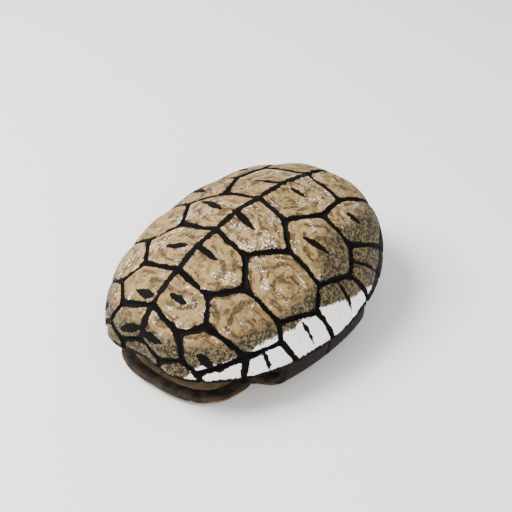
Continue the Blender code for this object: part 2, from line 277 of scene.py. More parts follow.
# %% Junctions and plates of the carapace
CARAPACE_JUNCTIONS = {
    "keel_front": (0, -86), "keel_1": (0, -60), "keel_2": (0, -38),
    "keel_3": (0, -13), "keel_4": (0, 13), "keel_rear": (0, 48),
    "corner_1": (24.5, -65), "corner_2": (23.5, -40), "corner_3": (21.5, -15.5), "corner_4": (19.5, 9.5),
    "side_1": (35, -78), "side_2": (34.5, -53), "side_3": (35, -28), "side_4": (36, -1.5),
    "side_5": (29, 25), "side_rear": (27, 42),
    "front": (20, -90), "low_1": (47.5, -80), "low_1_mid": (57, -68), "low_2": (64, -54),
    "low_2_mid": (69, -45.5), "low_3": (72.5, -36), "step_3": (62, -30),
    "low_3_mid": (68, -20.5), "low_4": (73.5, -11), "step_4": (61, -2),
    "low_4_mid": (65, 8), "low_5": (68, 17), "low_5_mid": (61.5, 22), "low_6": (53, 26),
}
RIM_ANGLES = (-79, -57, -41, -31, -20.5, -12, -3.5, 8, 19, 31, 43, 65, 90)
NUCHAL_HALF = ("rim_nose", "rim_0", "front", "keel_front")
VERTEBRAL_HALVES = (
    ("keel_front", "front", "side_1", "corner_1", "keel_1"),
    ("keel_1", "corner_1", "side_2", "corner_2", "keel_2"),
    ("keel_2", "corner_2", "side_3", "corner_3", "keel_3"),
    ("keel_3", "corner_3", "side_4", "corner_4", "keel_4"),
    ("keel_4", "corner_4", "side_5", "side_rear", "keel_rear"),
)
PLEURALS = (
    ("side_1", "low_1", "low_1_mid", "low_2", "side_2", "corner_1"),
    ("side_2", "low_2", "low_2_mid", "low_3", "step_3", "side_3", "corner_2"),
    ("side_3", "step_3", "low_3_mid", "low_4", "step_4", "side_4", "corner_3"),
    ("side_4", "step_4", "low_4_mid", "low_5", "low_5_mid", "low_6", "side_5", "corner_4"),
)
MARGINAL_TOPS = (
    ("low_1", "side_1", "front"), ("low_2", "low_1_mid", "low_1"), ("low_2_mid", "low_2"),
    ("low_3", "low_2_mid"), ("low_3_mid", "step_3", "low_3"), ("low_4", "low_3_mid"),
    ("low_4_mid", "step_4", "low_4"), ("low_5", "low_4_mid"), ("low_5_mid", "low_5"),
    ("low_6", "low_5_mid"), ("side_rear", "side_5", "low_6"), ("keel_rear", "side_rear"),
)
FAINT_SEAMS = (
    {"rim_3", "low_2_mid"}, {"rim_5", "low_3_mid"}, {"rim_7", "low_4_mid"}, {"rim_9", "low_5_mid"},
)
plate_count = 1 + len(VERTEBRAL_HALVES) + 2 * len(PLEURALS) + 2 * len(MARGINAL_TOPS)
print(plate_count, "plates on the carapace")

# %% [markdown]
# The plastron has six pairs of plates. Its free edge is made of arcs: a rounded lobe at each end, a smooth
# notch for each leg, and a shallow notch under the tail. A junction on the edge says which arc it lies on
# and how far round, in degrees, and so the edge between two such junctions can follow the arc.

# %% Junctions and plates of the plastron
PLASTRON_JUNCTIONS = {
    "mid_1": (0, -61), "mid_2": (0, -40), "mid_3": (0, -9), "mid_4": (0, 25), "mid_5": (0, 50),
    "fold_seam": (40, -11), "wing_seam": (68, -6),
}
PLASTRON_EDGE_JUNCTIONS = {
    "front_tip": {"front lobe": 90}, "gular_side": {"front lobe": 58},
    "armpit": {"front lobe": 0, "front notch": 0}, "wing_front": {"front notch": 90},
    "wing_rear": {"rear notch": 90}, "groin": {"rear notch": 0, "rear lobe": 0},
    "femoral_rear": {"rear lobe": 38}, "anal_tip": {"rear lobe": 73, "anal notch": 0},
    "anal_middle": {"anal notch": 90},
}
PLASTRON_PLATES = (
    ("front_tip", "gular_side", "mid_1"),
    ("mid_1", "gular_side", "armpit", "mid_2"),
    ("mid_2", "armpit", "wing_front", "wing_seam", "fold_seam", "mid_3"),
    ("mid_3", "fold_seam", "wing_seam", "wing_rear", "groin", "mid_4"),
    ("mid_4", "groin", "femoral_rear", "mid_5"),
    ("mid_5", "femoral_rear", "anal_tip", "anal_middle"),
)
print(2 * len(PLASTRON_PLATES), "plates on the plastron")

# %% [markdown]
# An arc here is a superellipse: a circle is one with power 2, and a higher power squares it off. The same
# small class serves the carapace's round rim and all of the plastron's edges.

# %% Arcs and junction tables


class Arc:
    """A superellipse on a chart, which a free edge follows. A negative reach turns it the other way."""

    def __init__(self, centre, reach, power=2.0):
        self.centre = np.array(centre)
        self.reach = np.array(reach)
        self.power = power

    def spot(self, turn):
        waves = np.array((math.cos(turn), math.sin(turn)))
        return self.centre + self.reach * np.copysign(np.abs(waves) ** (2 / self.power), waves)


def carapace_junctions():
    """Each junction's chart spot, with its turn along each arc that it lies on, and the arcs."""
    rim = Arc((0.0, 0.0), (1.0, 1.0))
    junctions = {name: (np.array(spot) / 100, {}) for name, spot in CARAPACE_JUNCTIONS.items()}
    turns = {f"rim_{index}": math.radians(angle) for index, angle in enumerate(RIM_ANGLES)}
    turns["rim_nose"] = -math.pi / 2
    for name, turn in turns.items():
        junctions[name] = (rim.spot(turn), {"rim": turn})
    return junctions, {"rim": rim}


def plastron_junctions():
    leg_notch = LOBE_HALF_WIDTH - WING_TOP
    arcs = {
        "front lobe": Arc((0.0, FRONT_LOBE_ROOT), (LOBE_HALF_WIDTH, -FRONT_LOBE_LENGTH), 2.6),
        "front notch": Arc((WING_TOP, FRONT_LOBE_ROOT), (leg_notch, LEG_NOTCH_CURVE)),
        "rear notch": Arc((WING_TOP, REAR_LOBE_ROOT), (leg_notch, -LEG_NOTCH_CURVE)),
        "rear lobe": Arc((0.0, REAR_LOBE_ROOT), (LOBE_HALF_WIDTH, REAR_LOBE_LENGTH), 2.3),
    }
    tip = arcs["rear lobe"].spot(math.radians(PLASTRON_EDGE_JUNCTIONS["anal_tip"]["rear lobe"]))
    arcs["anal notch"] = Arc((0.0, tip[1]), (tip[0], -ANAL_NOTCH_DEPTH))
    junctions = {name: (np.array(spot, float), {}) for name, spot in PLASTRON_JUNCTIONS.items()}
    for name, degrees in PLASTRON_EDGE_JUNCTIONS.items():
        turns = {arc: math.radians(turn) for arc, turn in degrees.items()}
        arc, turn = next(iter(turns.items()))
        junctions[name] = (arcs[arc].spot(turn), turns)
    return junctions, arcs


print(len(carapace_junctions()[0]), "and", len(plastron_junctions()[0]), "junctions on the left halves")

# %% [markdown]
# ## Sides of a plate
#
# A side runs from one junction to the next, straight on the chart or along an arc, with a spot every
# millimetre or so. Neighbouring plates must get exactly the same spots, or a crack would open between them.
# So each side is always sampled from the name that sorts first, and turned round if need be. A side is a
# true seam, a faint seam between two of the rim plates, or a free edge.

# %% Sides


class Side:
    """Chart spots from corner to corner, and the kind of side: seam, faint or free."""

    def __init__(self, spots, kind):
        self.spots = spots
        self.kind = kind

    def mirrored(self):
        return Side(self.spots[::-1] * np.array((-1.0, 1.0)), self.kind)


class Network:
    """The plates of one shell half, each a list of sides that run round it the same way."""

    def __init__(self, surface, tables, step):
        self.surface = surface
        self.junctions, self.arcs = tables
        self.step = step
        self.plates = []

    def side(self, start, end):
        first, last = sorted((start, end))
        (spot_a, turns_a), (spot_b, turns_b) = self.junctions[first], self.junctions[last]
        ends = self.surface(np.array((spot_a, spot_b)))
        count = max(2, round(float(np.linalg.norm(ends[1] - ends[0])) / self.step))
        shares = np.linspace(0.0, 1.0, count + 1)
        common = [name for name in turns_a if name in turns_b]
        if common:
            arc, turn_a, turn_b = self.arcs[common[0]], turns_a[common[0]], turns_b[common[0]]
            spots = np.array([arc.spot(turn_a + (turn_b - turn_a) * share) for share in shares])
        else:
            spots = spot_a + (spot_b - spot_a) * shares[:, None]
        wing_end = start.startswith("wing") and end.startswith("wing")
        kind = "faint" if {start, end} in FAINT_SEAMS else "free" if common or wing_end else "seam"
        return Side(spots if first == start else spots[::-1], kind)

    def add_half_and_mirror(self, names):
        left = [self.side(*pair) for pair in zip(names, names[1:])]
        self.plates.append(left + [side.mirrored() for side in reversed(left)])

    def add_pair(self, names):
        left = [self.side(*pair) for pair in zip(names, names[1:] + names[:1])]
        self.plates.append(left)
        self.plates.append([side.mirrored() for side in reversed(left)])


SPOT_STEP = 1.35
carapace_network = Network(dome, carapace_junctions(), SPOT_STEP)
for names in (NUCHAL_HALF, *VERTEBRAL_HALVES):
    carapace_network.add_half_and_mirror(names)
for names in PLEURALS:
    carapace_network.add_pair(names)
for index, tops in enumerate(MARGINAL_TOPS):
    carapace_network.add_pair((f"rim_{index}", f"rim_{index + 1}", *tops))
plastron_network = Network(belly, plastron_junctions(), SPOT_STEP)
for names in PLASTRON_PLATES:
    plastron_network.add_pair(names)
print(len(carapace_network.plates), "and", len(plastron_network.plates), "plates laid out")

# %% [markdown]
# ## From plates to one closed mesh
#
# Each plate is filled with rings that shrink towards its centre, like the growth rings of real horn. The
# first rings lie close together, to shape the seam. The inside gets coarser rings under the same outlines,
# and a rounded lip joins both along the free edge. The class that does this also keeps numbers with the
# points, such as the distance to the nearest seam. The relief and the colours read them later.

# %% The mesh builder
SEAM_RINGS = (0.0, 0.45, 0.9, 1.4, 1.9, 2.5)
RING_STEP = 0.85
INNER_RING_STEP = 2.6
LAST_RING_ROOM = 1.4
NEAREST_TO_CENTRE = 0.97
JUST_INSIDE = 0.98
LIP_ROWS = 6
LIP_FADE = 1.6
SAME_SPOT = 5
VALUES = ("growth_mm", "downhill", "swell", "tone", "outside")
FAR_MM = 99.0
JOINT_SPREAD = 1.0
FULL_CROWN_FROM = 14.0


def ring_shares(room, first, step):
    """Shares of the way to a plate's centre at which its rings lie, for a plate with that much room."""
    distances = list(first)
    while distances[-1] + step * LAST_RING_ROOM < room:
        distances.append(distances[-1] + step)
    return np.array([distance / room for distance in distances if distance < room * NEAREST_TO_CENTRE])


def distance_to_path(points, path):
    """How far each point lies from a line through the path's points."""
    start, span = path[:-1], path[1:] - path[:-1]
    away = points[:, None] - start
    share = np.clip((away * span).sum(-1) / (span * span).sum(-1), 0.0, 1.0)
    return np.linalg.norm(away - share[..., None] * span, axis=2).min(axis=1)


class ShellHalf:
    """One shell half as a single closed mesh: chart spots, points in millimetres, values and faces."""

    def __init__(self, network, normals_of, wall, bulge, seed):
        self.surface = network.surface
        self.normals_of = normals_of
        self.wall = wall
        self.random = np.random.default_rng(seed)
        self.spot_parts = []
        self.value_parts = {name: [] for name in VALUES}
        self.faces = []
        self.outside_faces = []
        self.inside_ids = []
        self.edge_tones = []
        self.side_paths = []
        self.shared = {}
        self.next_free = {}
        self.count = 0
        for sides in network.plates:
            self.add_plate(sides)
        self.join_parts()
        self.add_lip(bulge)

    def add_spots(self, spots, values):
        ids = np.arange(self.count, self.count + len(spots))
        self.count += len(spots)
        self.spot_parts.append(spots)
        for name, parts in self.value_parts.items():
            parts.append(np.broadcast_to(values.get(name, 0.0), len(spots)).astype(float))
        return ids

    def outline_ids(self, layer, spots):
        """Ids of the outline's vertices, which neighbouring plates share."""
        keys = [(layer, *np.round(spot, SAME_SPOT) + 0.0) for spot in spots]
        fresh = [index for index, key in enumerate(keys) if key not in self.shared]
        if fresh:
            new_ids = self.add_spots(spots[fresh], {"outside": float(layer == "out")})
            self.shared.update({keys[index]: new for index, new in zip(fresh, new_ids)})
        return np.array([self.shared[key] for key in keys])

    def add_faces(self, columns, outside):
        faces = np.column_stack(columns).tolist()
        self.faces += faces
        self.outside_faces += [outside] * len(faces)

    def fill(self, ring_ids, outside):
        """Quads between successive rings of the same length, and a fan to the last id."""
        for low, high in zip(ring_ids[:-2], ring_ids[1:-1]):
            self.add_faces((low, np.roll(low, -1), np.roll(high, -1), high), outside)
        last = ring_ids[-2]
        self.add_faces((last, np.roll(last, -1), np.full(len(last), ring_ids[-1][0])), outside)

    def add_plate(self, sides):
        corners = np.array([side.spots[0] for side in sides])
        centre = corners.mean(axis=0)
        outline = np.concatenate([side.spots[:-1] for side in sides])
        middle = self.surface(centre[None])
        paths = [self.surface(side.spots) for side in sides]
        rooms = [float(distance_to_path(middle, path)[0]) for path in paths]
        room = min(rooms)
        tone = self.random.random()
        swell_limit = min(1.0, room / FULL_CROWN_FROM)
        edge = self.outline_ids("out", outline)
        ring_ids = [edge]
        for share in ring_shares(room, SEAM_RINGS, RING_STEP)[1:]:
            spots = outline + (centre - outline) * share
            downhill = np.linalg.norm(spots, axis=1) - np.linalg.norm(centre)
            swell = swell_limit * (1 - (1 - share) ** 2)
            ring_ids.append(self.add_spots(spots, {
                "growth_mm": share * room, "downhill": downhill, "swell": swell, "tone": tone, "outside": 1.0,
            }))
        ring_ids.append(self.add_spots(centre[None], {
            "growth_mm": room, "swell": swell_limit, "tone": tone, "outside": 1.0,
        }))
        self.fill(ring_ids, True)
        own = np.concatenate(ring_ids)
        self.side_paths += [(side.kind, own, path) for side, path in zip(sides, paths)]
        self.edge_tones.append((edge, tone))
        self.add_inside(outline, centre, room)
        for side in sides:
            if side.kind == "free":
                ids = self.outline_ids("out", side.spots)
                self.next_free.update(zip(ids[:-1], ids[1:]))

    def add_inside(self, outline, centre, room):
        ring_ids = [self.outline_ids("in", outline)]
        for share in ring_shares(room, (0.0,), INNER_RING_STEP)[1:]:
            ring_ids.append(self.add_spots(outline + (centre - outline) * share, {}))
        ring_ids.append(self.add_spots(centre[None], {}))
        self.inside_ids += ring_ids
        self.fill(ring_ids, False)

    def join_parts(self):
        """Makes the points and values of both skins, before the lip joins them."""
        spots = np.concatenate(self.spot_parts)
        values = {name: np.concatenate(parts) for name, parts in self.value_parts.items()}
        for ids, tone in self.edge_tones:
            values["tone"][ids] = tone
        points = self.surface(spots)
        values["seam_mm"] = np.full(len(spots), FAR_MM)
        values["faint_mm"] = np.full(len(spots), FAR_MM)
        crowd = np.full(len(spots), math.exp(-FAR_MM / JOINT_SPREAD))
        for kind, ids, path in self.side_paths:
            away = distance_to_path(points[ids], path)
            if kind == "seam":
                crowd[ids] += np.exp(-away / JOINT_SPREAD)
            if kind != "free":
                values[f"{kind}_mm"][ids] = np.minimum(values[f"{kind}_mm"][ids], away)
        values["ink_mm"] = -JOINT_SPREAD * np.log(crowd)
        inside = np.unique(np.concatenate(self.inside_ids))
        points[inside] -= self.normals_of(spots[inside]) * self.wall(spots[inside])[:, None]
        self.spots, self.points, self.values = spots, points, values

    def add_lip(self, bulge):
        """Adds a rounded lip from the outer free edge to the inner one, and keeps the inner edge's ids."""
        start = next(iter(self.next_free))
        loop = [start]
        while self.next_free[loop[-1]] != start:
            loop.append(self.next_free[loop[-1]])
        outer = np.array(loop)
        inner = self.outline_ids("in", self.spots[outer])
        out_points, in_points = self.points[outer], self.points[inner]
        middle = (out_points + in_points) / 2
        half_wall = (out_points - in_points) / 2
        along = np.roll(out_points, -1, axis=0) - np.roll(out_points, 1, axis=0)
        beyond = np.cross(along, half_wall)
        beyond /= np.linalg.norm(beyond, axis=1, keepdims=True)
        plate_side = self.surface(self.spots[outer] * JUST_INSIDE) - out_points
        if (beyond * plate_side).sum() > 0:
            beyond = -beyond
        rows = [outer]
        all_points = [self.points]
        all_values = {name: [value] for name, value in self.values.items()}
        for row in range(1, LIP_ROWS):
            turn = math.pi * row / LIP_ROWS
            rows.append(np.arange(len(outer)) + sum(len(part) for part in all_points))
            all_points.append(middle + half_wall * math.cos(turn) + beyond * bulge * math.sin(turn))
            fade = max(0.0, 1.0 - LIP_FADE * row / LIP_ROWS)
            for name, parts in all_values.items():
                parts.append(self.values[name][outer] * (fade if name == "outside" else 1.0))
        rows.append(inner)
        for row, (high, low) in enumerate(zip(rows, rows[1:])):
            self.add_faces((high, low, np.roll(low, -1), np.roll(high, -1)), row < LIP_ROWS / 2)
        self.points = np.concatenate(all_points)
        self.values = {name: np.concatenate(parts) for name, parts in all_values.items()}
        self.inner_edge = inner


def carapace_normals(chart):
    return normals(dome, chart)


carapace = ShellHalf(carapace_network, carapace_normals, carapace_wall, RIM_BEAD_DROP, seed=3)
print("carapace:", len(carapace.points), "points")

# %% [markdown]
# ## Where the dark marks lie
#
# Colour on a shell follows its plates. Each dark line is kept as one number on every point: the distance
# from the point to the mark's edge, negative inside it. Such a distance stays crisp on a mesh of
# millimetre-sized faces, where a painted yes or no would show jagged steps, and the material can roughen
# the edge with noise. The seams, the line along the keel and short strokes on some plates all go into the
# one number, because the nearest mark is simply the smallest distance. Where seams meet, the mesh builder
# has already added them up softly, so that the dark line thickens there, as brushed ink would.

# %% Dark marks of the carapace
SEAM_INK_HALF_WIDTH = 1.6
KEEL_INK_HALF_WIDTH = 1.6
STROKE_HALF_WIDTH = 2.4
FAINT_HALF_WIDTH = 1.5
STROKE_FULLEST = 0.45
FAINT_FULLEST = 0.3
FAINT_SPAN = (0.05, 0.8)
MARK_TIP = 0.25
MARK_SAMPLES = 24
KEEL_LINE = (-0.86, 0.48)
KEEL_REACH = 12.0
BACK_ABOVE = 36.0
STROKES = (
    ((-2, -77), (-21, -82)), ((1, -80), (16, -76.5)),
    ((-1, -55), (-17, -55)), ((5, -50), (18, -49)),
    ((-3, -25), (-18, -29)), ((0, -24.5), (13, -24.5)),
    ((-9, -2), (-28, 1)), ((-3, -1), (14.5, -3.5)),
    ((2, 28.5), (-15, 24.5)), ((4.5, 29), (15, 27.5)),
)
PAIRED_STROKES = (((41, -68.5), (54, -70.5)), ((35, 8.5), (49.5, 12)), ((35, 37), (46, 41)))


def mark_distance(points, start, end, half_width, fullest):
    """Distance to a lens-shaped mark between two spots in percent, fullest at that share of its length."""
    shares = np.linspace(0.0, 1.0, MARK_SAMPLES)
    chart = (np.array(start) + (np.array(end) - np.array(start)) * shares[:, None]) / 100
    spine = dome(chart)
    swell = np.where(shares < fullest, shares / fullest, (1 - shares) / (1 - fullest))
    widths = half_width * (MARK_TIP + (1 - MARK_TIP) * np.sin(swell * math.pi / 2))
    return (np.linalg.norm(points[:, None] - spine, axis=2) - widths).min(axis=1)


def on_both_sides(mark):
    (start_x, start_y), (end_x, end_y) = mark
    return mark, ((-start_x, start_y), (-end_x, end_y))


skin = np.flatnonzero(carapace.values["outside"][: len(carapace.spots)] > 0)
skin_points = carapace.points[skin]
from_midline = np.abs(skin_points[:, 0])
keel_start, keel_end = dome(np.array([(0.0, along) for along in KEEL_LINE]))[:, 1]
on_back = (from_midline < KEEL_REACH) & (skin_points[:, 2] > BACK_ABOVE)
on_back &= (skin_points[:, 1] > keel_start) & (skin_points[:, 1] < keel_end)
ink = carapace.values["ink_mm"][skin] - SEAM_INK_HALF_WIDTH
ink = np.where(on_back, np.minimum(ink, from_midline - KEEL_INK_HALF_WIDTH), ink)
strokes = list(STROKES)
for mark in PAIRED_STROKES:
    strokes += on_both_sides(mark)
marks = [(mark, STROKE_HALF_WIDTH, STROKE_FULLEST) for mark in strokes]
for rim_name, top_name in (sorted(pair, reverse=True) for pair in FAINT_SEAMS):
    turn = math.radians(RIM_ANGLES[int(rim_name.split("_")[1])])
    top = np.array(CARAPACE_JUNCTIONS[top_name], float)
    rim = 100 * np.array((math.cos(turn), math.sin(turn)))
    faint = [top + (rim - top) * share for share in FAINT_SPAN]
    marks += [(one, FAINT_HALF_WIDTH, FAINT_FULLEST) for one in on_both_sides(faint)]
for (start, end), half_width, fullest in marks:
    ink = np.minimum(ink, mark_distance(skin_points, start, end, half_width, fullest))
print(len(marks), "short dark marks beside the seams and the keel line")

# %% [markdown]
# ## Pale flanks, a mottled band and painted rim shade
#
# The drawn shell turns cream towards the rim on its flanks, above which runs a dark, mottled olive band.
# Along its rim runs a near-black band of painted shade, widest at the rear. Each of the three borders is
# given as a chart radius at a few angles, and the distance past it goes with the points. Angles count from
# the flank's middle, and the tail end is positive. The lip round the free edge lies inside that painted shade
# band, so it is near-black.

# %% Washes of colour
CREAM_BORDER = ((-90, 1.03), (-66, 1.0), (-61, 0.92), (-57, 0.868), (-50, 0.862), (-44, 0.825), (-40, 0.81),
                (-35, 0.78), (-29, 0.765), (-22, 0.762), (-14, 0.742), (-3, 0.745), (2, 0.78), (9, 0.82),
                (18, 0.86), (31, 1.0), (50, 1.04), (90, 1.04))
OLIVE_BORDER = ((-90, 0.70), (-66, 0.75), (-49, 0.71), (-33, 0.65), (-14, 0.62), (1, 0.55), (9, 0.47),
                (17, 0.43), (26, 0.42), (34, 0.47), (50, 0.62), (70, 0.76), (90, 0.82))
# painted shade: where the near-black band along the rim begins, widest at the rear
RIM_SHADE_BORDER = ((-90, 0.97), (-66, 0.975), (0, 0.978), (9, 0.965), (19, 0.93), (31, 0.865), (40, 0.81),
                (54, 0.815), (62, 0.815), (70, 0.84), (80, 0.91), (90, 0.935))
MM_PER_RADIUS = 78.0
WELL_INSIDE = 3.0
NO_WASH = -30.0


def past_border(chart, border):
    """How far chart spots lie past a border towards the rim, in millimetres."""
    angle = np.degrees(np.arctan2(chart[:, 1], np.abs(chart[:, 0])))
    angles, radii = zip(*border)
    return (np.hypot(chart[:, 0], chart[:, 1]) - np.interp(angle, angles, radii)) * MM_PER_RADIUS


for name, on_skin, elsewhere in (
    ("ink_mm", ink, -WELL_INSIDE),
    # off the outer skin, so on the lip, the painted rim shade is full on
    ("rim_shade_mm", past_border(carapace.spots[skin], RIM_SHADE_BORDER), WELL_INSIDE),
    ("wash_mm", past_border(carapace.spots[skin], CREAM_BORDER), NO_WASH),
    ("olive_mm", past_border(carapace.spots[skin], OLIVE_BORDER), NO_WASH),
):
    carapace.values[name] = np.full(len(carapace.points), elsewhere)
    carapace.values[name][skin] = on_skin
cream_share = (carapace.values["wash_mm"][skin] > 0).mean()
print("cream covers", round(100 * float(cream_share)), "percent of the carapace's outer points")

# %% [markdown]
# ## The plastron's mesh
#
# The same class makes the plastron from its own chart. Its marks are only its seams, and its wash is the
# height on the wing: the bridge beside the rim is nearly black, as painted shade under the rim, and the belly
# is brown with amber patches.

# %% Plastron points
EDGE_BULGE = 1.1
PLASTRON_SEAM_INK = 0.75


def plastron_wall(chart):
    return np.full(len(chart), PLASTRON_WALL)


plastron = ShellHalf(plastron_network, belly_normals, plastron_wall, EDGE_BULGE, seed=8)
plastron.values["swell"][:] = 0.0
plastron.values["ink_mm"] -= PLASTRON_SEAM_INK
plastron.values["wash_mm"] = plastron.points[:, 2]
print("plastron:", len(plastron.points), "points")

# %% [markdown]
# ## Sutures of the bone
#
# Inside, the shell is made of bones that meet in sutures. Under the dome a row of small neural bones follows
# the backbone, and from it a pair of broad costal bones for each rib reaches out to the belt of rim bones.
# In the plastron, sutures cross the belly in three places and one runs along its middle. Only the distance
# to the nearest suture is kept here, and the bone's material draws the zigzag line.

# %% Suture distances
NEURAL_HALF_WIDTH = 5.5
COSTAL_END = 0.80
MM_ALONG = 100.0
RIM_BONE_TURN = 15.0
RIM_BONE_RADIUS = 70.0
BELLY_SUTURES = (-46.0, -4.0, 33.0)


def carapace_sutures(chart, points):
    across, along = chart[:, 0], chart[:, 1]
    radius = np.hypot(across, along)
    rib_row = along / (1 + RIB_BEND * np.abs(across)) / RIB_PITCH + (RIB_PAIRS - 1) / 2
    between_ribs = np.abs(rib_row % 1.0 - 0.5) * RIB_PITCH * MM_ALONG
    neural = np.abs(np.abs(points[:, 0]) - NEURAL_HALF_WIDTH)
    rim_belt = np.abs(radius - COSTAL_END) * MM_PER_RADIUS
    turn = np.degrees(np.arctan2(along, across)) / RIM_BONE_TURN
    rim_bones = np.abs(turn % 1.0 - 0.5) * math.radians(RIM_BONE_TURN) * RIM_BONE_RADIUS
    nearest = np.where(radius < COSTAL_END, np.minimum(between_ribs, neural), rim_bones)
    return np.minimum(nearest, rim_belt)


def plastron_sutures(chart, points):
    crossing = np.abs(chart[:, 1:2] - np.array(BELLY_SUTURES)).min(axis=1)
    return np.minimum(crossing, np.abs(points[:, 0]))


for half, sutures in ((carapace, carapace_sutures), (plastron, plastron_sutures)):
    skins = len(half.spots)
    half.values["suture_mm"] = np.full(len(half.points), FAR_MM)
    half.values["suture_mm"][:skins] = sutures(half.spots, half.points[:skins])
print("sutures:", 2 * (RIB_PAIRS - 1), "between the ribs, and", len(BELLY_SUTURES), "across the belly")

# %% [markdown]
# ## Horn round the edges
#
# Horn doesn't stop at a shell's free edge. It turns over the edge and covers a margin of the inside, up to
# the line where the skin was joined on. There is no such margin where the halves meet at the bridges. The
# bone's material only needs to know how far each point lies from that inner line, and it colours that margin
# near-black, as painted shade under the rims.

# %% Horn margins
RIM_HORN = 9.0
LOBE_HORN = 6.0
BRIDGE_SPAN = (-37.0, 29.0)


def add_horn_margin(half, width):
    """Millimetres left to the horn's inner line: positive on the horn, negative on bare bone."""
    edge = half.points[half.inner_edge]
    edge = edge[(edge[:, 1] < BRIDGE_SPAN[0]) | (edge[:, 1] > BRIDGE_SPAN[1])]
    inside = np.unique(np.concatenate(half.inside_ids))
    margin = np.full(len(half.points), width)
    margin[inside] = width - np.linalg.norm(half.points[inside][:, None] - edge, axis=2).min(axis=1)
    half.values["margin_mm"] = margin


add_horn_margin(carapace, RIM_HORN)
add_horn_margin(plastron, LOBE_HORN)
print("horn margins", RIM_HORN, "mm wide under the rim and", LOBE_HORN, "mm on the lobes")

# %% [markdown]
# ## A small helper for node trees
#
# Materials and Geometry Nodes are both trees of nodes joined by links. Written out one call at a time they
# are long and hard to read. The helper below adds a node and sets or links its inputs in the same call. Most
# of its methods hand back an output that the next call can take, so a tree reads like arithmetic.

# %% Node helper


class Tree:
    """Adds nodes to a tree and links them. An input may be a value or another node's output socket."""

    def __init__(self, tree):
        self.tree = tree

    def node(self, kind, settings=None, **inputs):
        made = self.tree.nodes.new(kind)
        for name, value in (settings or {}).items():
            setattr(made, name, value)
        for name, value in inputs.items():
            socket = made.inputs[int(name[1:])] if name[0] == "_" else made.inputs[name.replace("_", " ")]
            if isinstance(value, bpy.types.NodeSocket):
                self.tree.links.new(value, socket)
            else:
                socket.default_value = value
        return made

    def output(self, kind, settings=None, **inputs):
        """Adds a node and hands back its first output."""
        return self.node(kind, settings, **inputs).outputs[0]

    def math(self, operation, first, second=0.0):
        return self.output("ShaderNodeMath", {"operation": operation}, _0=first, _1=second)

    def add(self, first, second):
        return self.math("ADD", first, second)

    def less(self, first, second):
        return self.math("SUBTRACT", first, second)

    def times(self, first, second):
        return self.math("MULTIPLY", first, second)

    def smooth(self, value, low, high, to_low=0.0, to_high=1.0):
        """Rises smoothly from to_low to to_high while value goes from low to high."""
        return self.output(
            "ShaderNodeMapRange", {"interpolation_type": "SMOOTHSTEP"},
            Value=value, From_Min=low, From_Max=high, To_Min=to_low, To_Max=to_high,
        )

    def noise(self, vector, scale, detail=2.0, roughness=0.5):
        return self.output(
            "ShaderNodeTexNoise", Vector=vector, Scale=scale, Detail=detail, Roughness=roughness,
        )

    def centred(self, noise, size):
        """A noise that swings evenly about zero, by about that size."""
        return self.times(self.less(noise, 0.5), size)

    def mix(self, factor, first, second):
        """Mixes two colours."""
        made = self.node("ShaderNodeMix", {"data_type": "RGBA"}, _0=factor, _6=first, _7=second)
        return made.outputs[2]

    def number(self, name):
        """For materials: one of the numbers kept on the points."""
        settings = {"attribute_name": name, "attribute_type": "GEOMETRY"}
        return self.node("ShaderNodeAttribute", settings).outputs["Fac"]


print("node helper ready")

# %% [markdown]
# ## Relief with Geometry Nodes
#
# The seams, the swell of each plate and the growth rings all repeat by one rule, so a Geometry Nodes tree
# makes them. It reads the numbers that came with the points and pushes each point along its normal. Its
# sizes are named inputs, so they can be tried by hand in the modifier panel.

# %% The relief tree
RING_SPACING = 3.0
RELIEF_INPUTS = {
    "Seam depth": 1.3 * MM,
    "Seam half width": 1.6,
    "Faint seam depth": 0.5 * MM,
    "Plate crown": 1.3 * MM,
    "Ring spacing": RING_SPACING,
    "Ring depth": 0.16 * MM,
    "Grain depth": 0.10 * MM,
    "Unevenness": 0.45 * MM,
}


